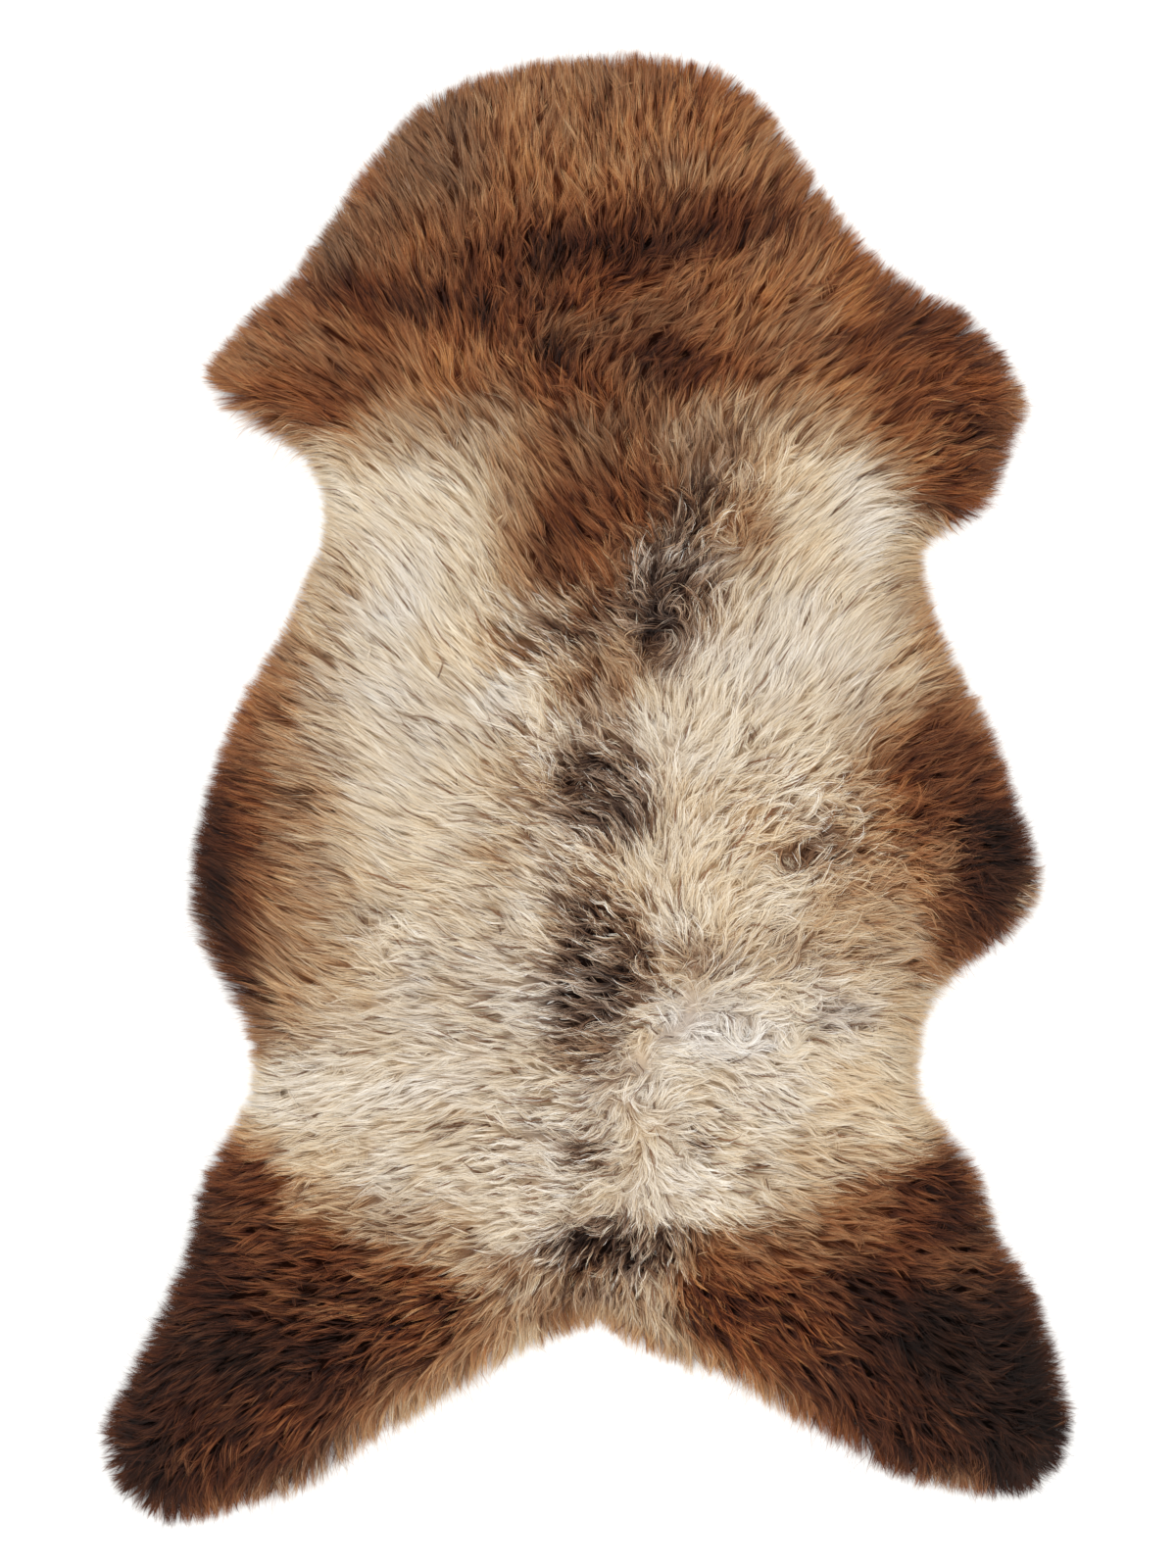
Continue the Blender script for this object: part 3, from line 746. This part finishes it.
def drawn_strands(staples, corners_at, strands, width, chance):
    """Corner points and places on the chart of the flat strands of some staples."""
    guide, way = staple_guides(staples)
    steps = len(corners_at) - 1
    total = len(staples["x"]) * strands
    pick = np.repeat(np.arange(len(staples["x"])), strands)
    own = {key: value[pick, None] for key, value in staples.items()}
    t = np.array(corners_at)[None, :] / GUIDE_STEPS
    guide, way = guide[:, corners_at][pick], way[:, corners_at][pick]
    left = np.stack([-way[..., 1], way[..., 0]], -1)
    off_middle = chance.normal(0, 0.34, (total, 1))
    across = off_middle * own["width"]
    flank = np.minimum((off_middle / 0.5) ** 2, 1.5)  # 0 on the back of a staple, 1 at its sides
    along = chance.uniform(-0.5, 0.5, (total, 1)) * own["length"] * own["stagger"]
    outside = np.maximum(-read_map(inside_rim, guide[..., 0], guide[..., 1]), 0)
    loose_end = chance.exponential(1.2 * MM, (total, 1))
    along = np.where(outside[:, -1:] > 0, np.minimum(along, loose_end), along)
    phase = crimp_phase(guide[..., 0], guide[..., 1]) + own["phase"] + chance.normal(0, 0.25, (total, 1))
    swing = own["wave"] * np.sin(phase) * t ** 0.6
    frizz = chance.normal(0, 0.25 * MM, (total, steps + 1)) * t
    aside = across * (1 - own["closing"] * t ** 1.4) - own["gather"] * t ** 1.3 + swing + frizz
    place = guide + left * aside[..., None] + way * (along * t)[..., None]
    x, y = place[..., 0], place[..., 1]

    top = read_map(heights, x, y) * own["level"]
    beyond = np.clip(-read_map(inside_rim, x, y) / (12 * MM), 0, 1)
    lift = own["lift"] + chance.normal(0, 0.3 * MM, (total, 1)) - FLANK_DEPTH * flank
    heave = own["wave"] * 0.4 * np.cos(phase)
    risen = np.minimum(t / RISEN, 1)
    z = top - own["reach_down"] * (1 - risen) ** 1.5 + (lift * (1 - 0.7 * beyond) + heave) * risen
    z = np.maximum(z, 0.8 * MM + width / 2 + chance.uniform(0, 1.5 * MM, (total, 1)))
    points = np.stack([x, y, z], -1)

    tangent = np.gradient(points, axis=1)
    tangent /= np.linalg.norm(tangent, axis=2, keepdims=True) + 1e-12
    slope_x = (read_map(heights, x + CELL, y) - read_map(heights, x - CELL, y)) / (2 * CELL)
    slope_y = (read_map(heights, x, y + CELL) - read_map(heights, x, y - CELL)) / (2 * CELL)
    normal = np.stack([-slope_x, -slope_y, np.ones_like(x)], -1)
    side = np.cross(tangent, normal)
    side /= np.linalg.norm(side, axis=2, keepdims=True) + 1e-12
    up = np.cross(side, tangent)
    roll = chance.normal(0, 0.35, (total, 1, 1))
    side = side * np.cos(roll) + up * np.sin(roll)
    taper = np.append(np.linspace(1, 0.75, steps), 0)[None, :, None]
    half = side * taper * chance.uniform(0.65, 1.35, (total, 1, 1)) * width / 2

    mixed = chance.normal(0, 4.5 * MM, (2, total, 1))
    coat = coat_at((x + own["shown_x"]) / 2 + mixed[0], (y + own["shown_y"]) / 2 + mixed[1])
    root, tip, root_hue, tip_hue, spread, _ = coat
    tip = tip + spread * (own["tone"] + 1.1 * chance.normal(0, 1, (total, 1)))
    tip = tip - FLANK_SHADE * flank * (tip - root) + 0.015 * np.cos(phase)
    tip = np.where(own["dark"] > 0, 0.5 * tip, tip)
    root = np.where(own["dark"] > 0, 0.7 * np.minimum(root, tip), root)
    at_rim = np.clip((outside - 2 * MM) / (9 * MM), 0, 1)
    tip = tip + 0.3 * (0.48 - tip) * at_rim
    root, tip_hue = root + 0.3 * (0.3 - root) * at_rim, tip_hue * (1 - 0.35 * at_rim)
    lightness = root + (tip - root) * np.interp(t, [0, 0.4, 0.75, 1], [0, 0.55, 0.9, 1])
    hue = root_hue + (tip_hue - root_hue) * t + chance.normal(0, 0.07, (total, 1))
    chart = np.stack([np.clip(lightness, 0.03, 0.96), np.clip(hue, 0.02, 0.98)], -1)
    edge = np.array([0.022, 0.014])
    corners = np.stack([points[:, :-1] - half[:, :-1], points[:, :-1] + half[:, :-1]], 2)
    corners = np.concatenate([corners.reshape(total, 2 * steps, 3), points[:, -1:]], 1)
    charts = np.stack([chart[:, :-1] - edge, chart[:, :-1] + edge], 2)
    charts = np.concatenate([charts.reshape(total, 2 * steps, 2), chart[:, -1:]], 1)
    return corners, charts, steps


def wool_mesh(name, groups):
    """One mesh of all the strands of some groups, with their places on the chart as its map."""
    corner_lists, loop_lists, size_lists, map_lists = [], [], [], []
    first = 0
    for corners, charts, steps in groups:
        total, each = corners.shape[:2]
        start = first + np.arange(total)[:, None] * each
        quads = np.array([[2 * i, 2 * i + 1, 2 * i + 3, 2 * i + 2] for i in range(steps - 1)])
        tip = np.array([2 * steps - 2, 2 * steps - 1, 2 * steps])
        pattern = np.concatenate([quads.ravel(), tip])
        loop_lists.append((start + pattern[None, :]).ravel())
        size_lists.append(np.tile(np.array([4] * (steps - 1) + [3]), total))
        map_lists.append(charts[:, pattern].reshape(-1, 2))
        corner_lists.append(corners.reshape(-1, 3))
        first += total * each
    corners, loops = np.concatenate(corner_lists), np.concatenate(loop_lists)
    sizes = np.concatenate(size_lists)
    data = bpy.data.meshes.new(name)
    data.vertices.add(len(corners))
    data.vertices.foreach_set("co", corners.astype(np.float32).ravel())
    data.loops.add(len(loops))
    data.loops.foreach_set("vertex_index", loops.astype(np.int32))
    data.polygons.add(len(sizes))
    starts = np.concatenate([[0], np.cumsum(sizes)[:-1]])
    data.polygons.foreach_set("loop_start", starts.astype(np.int32))
    data.update(calc_edges=True)
    own_map = data.uv_layers.new(name="OFBake")
    own_map.uv.foreach_set("vector", np.concatenate(map_lists).astype(np.float32).ravel())
    data.shade_smooth()
    made = bpy.data.objects.new(name, data)
    bpy.context.scene.collection.objects.link(made)
    return made, int((sizes - 2).sum())


wool = bpy.data.materials.new("lambs_wool")
wool.use_nodes = True
tree = wool.node_tree
shader = tree.nodes["Principled BSDF"]
shader.inputs["Roughness"].default_value = 0.6
shader.inputs["Specular IOR Level"].default_value = 0.15
strand_map = add_node(tree, "ShaderNodeUVMap", settings={"uv_map": "OFBake"})
split = add_node(tree, "ShaderNodeSeparateXYZ", links={"Vector": strand_map.outputs["UV"]})


def chart_row(colours):
    """A colour ramp of one row of the chart, by lightness."""
    node = add_node(tree, "ShaderNodeValToRGB", links={"Fac": split.outputs["X"]})
    stops = node.color_ramp.elements
    stops[0].position, stops[1].position = LIGHTNESS[0], LIGHTNESS[-1]
    stops[0].color, stops[1].color = linear(colours[0]), linear(colours[-1])
    for place, colour in zip(LIGHTNESS[1:-1], colours[1:-1]):
        stops.new(place).color = linear(colour)
    return node.outputs["Color"]


def mixed_rows(start, end, first, second):
    """Two rows of the chart, mixed by hue from start to end."""
    share = add_node(tree, "ShaderNodeMapRange", inputs={"From Min": start, "From Max": end},
                     links={"Value": split.outputs["Y"]})
    mix = add_node(tree, "ShaderNodeMix", settings={"data_type": "RGBA"})
    tree.links.new(share.outputs["Result"], mix.inputs["Factor"])
    tree.links.new(first, mix.inputs["A"])
    tree.links.new(second, mix.inputs["B"])
    return mix.outputs["Result"]


brown = mixed_rows(0.0, 0.5, chart_row(RUSSET), chart_row(FAWN))
whole_chart = mixed_rows(0.5, 1.0, brown, chart_row(SILVER))
tree.links.new(whole_chart, shader.inputs["Base Color"])


def some_of(table, keep):
    """The rows of a table that are kept."""
    return {key: value[keep] if isinstance(value, np.ndarray) else value for key, value in table.items()}


chance = np.random.default_rng(21)
lock_x, lock_y = staggered_places(LOCK_PITCH, 0.3, chance)
near_pelt = read_map(inside_pelt, lock_x, lock_y) > -3 * MM
lock_x, lock_y = lock_x[near_pelt], lock_y[near_pelt]
lock_count = len(lock_x)
lock_numbers = {
    "turn": chance.normal(0, 0.8, lock_count),
    "length": chance.uniform(0.82, 1.18, lock_count),
    "tone": chance.normal(0, 1, lock_count),
    "phase": chance.normal(0, 0.5, lock_count),
    "lift": chance.normal(0.4 * MM, 0.65 * MM, lock_count),
    "reach": chance.normal(0, 1.2 * MM, lock_count),
    "bend": chance.normal(0, 1, lock_count),
}
each = np.repeat(np.arange(lock_count), STAPLES)
angle = np.repeat(chance.uniform(0, 2 * math.pi, lock_count), STAPLES)
angle = angle + np.tile(np.arange(STAPLES) * 2 * math.pi / STAPLES, lock_count)
angle = angle + chance.normal(0, 0.35, len(each))
away = LOCK_PITCH * chance.uniform(0.15, 0.45, len(each))
root_x, root_y = lock_x[each] + away * np.cos(angle), lock_y[each] + away * np.sin(angle)
on_pelt = read_map(inside_pelt, root_x, root_y) > 1 * MM
root_x, root_y, each, away, angle = (a[on_pelt] for a in (root_x, root_y, each, away, angle))
along_x, along_y = heading_at(root_x, root_y)
aside = away * (np.sin(angle) * along_x - np.cos(angle) * along_y)
staples = staple_table(root_x, root_y, aside, some_of(lock_numbers, each), chance)
wavy = zone_values(staples["x"], staples["y"])[2] > 0.82 * MM

# Where the locks part and leave the fleece thin, short wool covers the pelt.
THIN = 0.68  # of the usual cover
guide, _ = staple_guides(staples)
covered = np.zeros(grid_x.shape)
for i in range(5, GUIDE_STEPS + 1):
    column = ((guide[:, i, 0] - low_x) / CELL).astype(int)
    row = ((guide[:, i, 1] - low_y) / CELL).astype(int)
    np.add.at(covered, (row, column), 1)
covered = blurred(covered, 6)
covered /= np.median(covered[inside_pelt > 20 * MM])
short_x, short_y = staggered_places(4 * MM, 0.4, chance)
parts = (read_map(covered, short_x, short_y) < THIN) & (read_map(inside_pelt, short_x, short_y) > 8 * MM)
short_x, short_y = short_x[parts], short_y[parts]
short_count = len(short_x)
short_numbers = {key: chance.normal(0, 1, short_count) for key in ("turn", "tone", "phase", "bend")}
short_numbers.update({key: np.zeros(short_count) for key in ("lift", "reach")})
short_numbers["length"] = chance.uniform(0.4, 0.6, short_count)
short = staple_table(short_x, short_y, np.zeros(short_count), short_numbers, chance)
short["turn"] += chance.normal(0, 0.7, short_count)
short["reach_down"] = np.full(short_count, 4 * MM)
short["lift"] -= 0.8 * MM
short["closing"] = np.full(short_count, 0.2)
print("WOOL short", short_count)

# Bands from neck to feet: name and the photograph's row where it ends.
BANDS = [("wool_neck", 235), ("wool_shoulders", 390), ("wool_withers", 560), ("wool_chest", 740),
         ("wool_belly", 910), ("wool_loin", 1080), ("wool_rump", 1280), ("wool_hind_legs", 1700)]
row_of_staple = SKIN_MIDDLE[1] - staples["y"] / PIXEL
row_above = 0
all_triangles = 0
for name, row_below in BANDS:
    band = (row_of_staple >= row_above) & (row_of_staple < row_below)
    kinds = ((band & ~wavy, SMOOTH, SMOOTH_STRANDS, SMOOTH_WIDTH),
             (band & wavy, WAVY, WAVY_STRANDS, WAVY_WIDTH))
    groups = [drawn_strands(some_of(staples, of_kind), at, strands, width, chance)
              for of_kind, at, strands, width in kinds if of_kind.any()]
    piece, triangles = wool_mesh(name, groups)
    print("WOOL", name, int(band.sum()), "staples", triangles, "triangles", int((band & wavy).sum()))
    all_triangles += triangles
    piece.data.materials.append(wool)
    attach(piece, "root")
    row_above = row_below
print("WOOL all", all_triangles)

# Fringe at the rim
# Along the edge the wool hangs out over the pelt and down to the floor, in small pointed
# tufts of a few staples, with single fine hairs beyond them.

TUFT_PITCH = 7 * MM
TUFT_STAPLES = 3
# Layers from the floor up: level in the fleece's height at the rim, strands a staple, their
# width in mm, and how much shorter than the outline they are in mm.
TUFT_LAYERS = [(0.12, 4, 1.6, 3.5), (0.35, 7, 0.8, 1.5), (0.75, 10, 0.38, 0)]
TUFT_LENGTH = 55 * MM
WISP_PITCH = 0.26 * MM
WISP_WIDTH = 0.22 * MM


def places_along(line, pitch):
    """Places at one pitch along a closed line, and the line's direction there."""
    ahead = np.roll(line, -1, 0) - line
    lengths = np.hypot(ahead[:, 0], ahead[:, 1])
    travelled = np.concatenate([[0], np.cumsum(lengths)])
    stations = np.arange(0, travelled[-1], pitch)
    piece = np.searchsorted(travelled, stations, side="right") - 1
    piece = np.minimum(piece, len(line) - 1)
    share = (stations - travelled[piece]) / lengths[piece]
    return line[piece] + ahead[piece] * share[:, None], ahead[piece] / lengths[piece][:, None]


def fringe_staples(pitch, members, chance):
    """Staples that root along the pelt's edge, with a number of them in a tuft."""
    middles, direction = places_along(pelt_line, pitch)
    count = len(middles)
    own = {
        "turn": chance.normal(0, 0.8, count),
        "length": np.full(count, TUFT_LENGTH / STAPLE_LENGTH / 1.6),
        "tone": chance.normal(0, 1, count),
        "phase": chance.uniform(0, 2 * math.pi, count),
        "lift": chance.normal(0, 0.5 * MM, count),
        "reach": chance.normal(0, 1.2 * MM, count),
        "bend": chance.normal(0, 1, count),
    }
    tuft = np.repeat(np.arange(count), members)
    offset = np.tile(np.arange(members) - (members - 1) / 2, count) * pitch / members
    offset = offset + chance.normal(0, 0.5 * MM, len(tuft)) + chance.normal(0, pitch / 4, count)[tuft]
    inwards = chance.uniform(0, 7 * MM, len(tuft))
    x = middles[tuft, 0] + direction[tuft, 0] * offset
    y = middles[tuft, 1] + direction[tuft, 1] * offset
    slope_x, slope_y = read_map(rise_x, x, y), read_map(rise_y, x, y)
    size = np.hypot(slope_x, slope_y) + 0.1
    x, y = x + slope_x / size * inwards, y + slope_y / size * inwards
    along_x, along_y = heading_at(x, y)
    aside = offset * (direction[tuft, 1] * along_x - direction[tuft, 0] * along_y)
    return staple_table(x, y, aside, some_of(own, tuft), chance)


rim_groups = []
for level, strands, width, shorter in TUFT_LAYERS:
    tufts = fringe_staples(TUFT_PITCH, TUFT_STAPLES, chance)
    tufts["level"] = np.full(len(tufts["x"]), level)
    tufts["length"] -= shorter * MM
    tufts["reach_down"] = np.full(len(tufts["x"]), 2 * MM)
    tufts["closing"] = chance.uniform(0.2, 0.8, len(tufts["x"]))
    rim_groups.append(drawn_strands(tufts, HANGING, strands, width * MM, chance))
wisps = fringe_staples(WISP_PITCH, 1, chance)
wisps["turn"] += chance.normal(0, 0.35, len(wisps["x"]))
wisps["length"] += chance.exponential(2.4 * MM, len(wisps["x"]))
wisps["length"] *= chance.uniform(0.85, 1.12, len(wisps["x"]))
wisps["level"] = chance.uniform(0.2, 1.0, len(wisps["x"]))
wisps["wave"] += chance.uniform(0, 2 * MM, len(wisps["x"]))
rim_groups.append(drawn_strands(wisps, HANGING, 1, WISP_WIDTH, chance))
rim_groups.append(drawn_strands(short, HANGING, 7, SMOOTH_WIDTH, chance))
fringe, triangles = wool_mesh("wool_fringe", rim_groups)
print("WOOL fringe", triangles)
fringe.data.materials.append(wool)
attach(fringe, "root")

# Floor and light
# A plain pale floor and soft light from large lamps around the camera, as in a studio.

bpy.ops.mesh.primitive_plane_add(size=12, location=(0, 0, 0))
floor = bpy.context.object
floor.name = "floor"
paint = bpy.data.materials.new("matt_white_paint")
paint.use_nodes = True
shader = paint.node_tree.nodes["Principled BSDF"]
shader.inputs["Base Color"].default_value = linear("#f4f3f1")
shader.inputs["Roughness"].default_value = 0.9
floor.data.materials.append(paint)

LAMPS = [  # place, size and power
    ((-1.6, 1.2, 2.6), 1.6, 34),
    ((1.6, 1.0, 2.6), 1.6, 22),
    ((0.0, -1.9, 2.4), 1.6, 18),
]
for number, (place, size, power) in enumerate(LAMPS):
    lamp_data = bpy.data.lights.new(f"lamp_{number}", "AREA")
    lamp_data.size = size
    lamp_data.energy = power
    lamp = bpy.data.objects.new(f"lamp_{number}", lamp_data)
    lamp.location = place
    lamp.rotation_euler = (Vector((0, 0, 0)) - Vector(place)).to_track_quat("-Z", "Y").to_euler()
    bpy.context.scene.collection.objects.link(lamp)
world = bpy.data.worlds.new("studio")
world.use_nodes = True
world.node_tree.nodes["Background"].inputs["Color"].default_value = (1, 1, 1, 1)
world.node_tree.nodes["Background"].inputs["Strength"].default_value = 0.9
bpy.context.scene.world = world
bpy.context.scene.view_settings.view_transform = "Standard"
